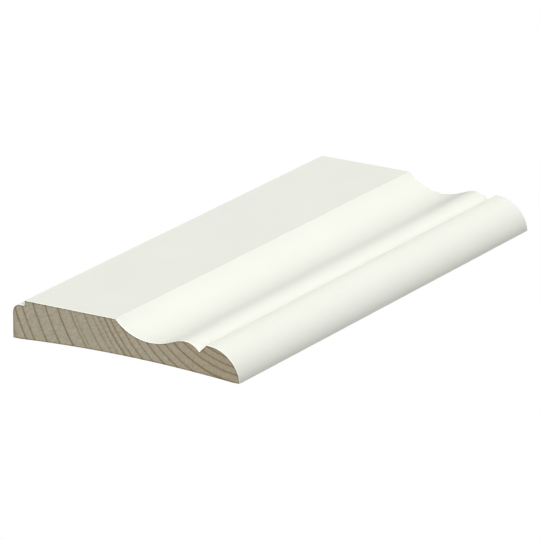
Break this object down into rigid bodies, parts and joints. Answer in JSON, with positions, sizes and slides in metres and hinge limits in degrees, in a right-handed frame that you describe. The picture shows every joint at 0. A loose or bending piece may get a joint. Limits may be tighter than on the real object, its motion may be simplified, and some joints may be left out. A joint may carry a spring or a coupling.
{
  "type": "architrave",
  "caption": "Moulded softwood cover strip for a door or window frame, with a rebated shoulder, broad flat, cove, crest, quirk and torus, hollow back and square-cut ends.",
  "frame": {"origin": "middle of the underside: half way across the width and along the length, in the plane of the two lands of the back", "axes": "+X across the width from the rebated outer edge to the torus, +Y along the length, +Z through the thickness from the back to the face"},
  "size_m": [0.095, 0.203, 0.0147],
  "materials": {
    "painted_softwood": "warm white satin factory paint on the face and edges, bare sawn pine on the cut ends and bare planed pine on the back"
  },
  "bodies": {
    "root": {"architrave": "painted_softwood"}
  },
  "joints": []
}
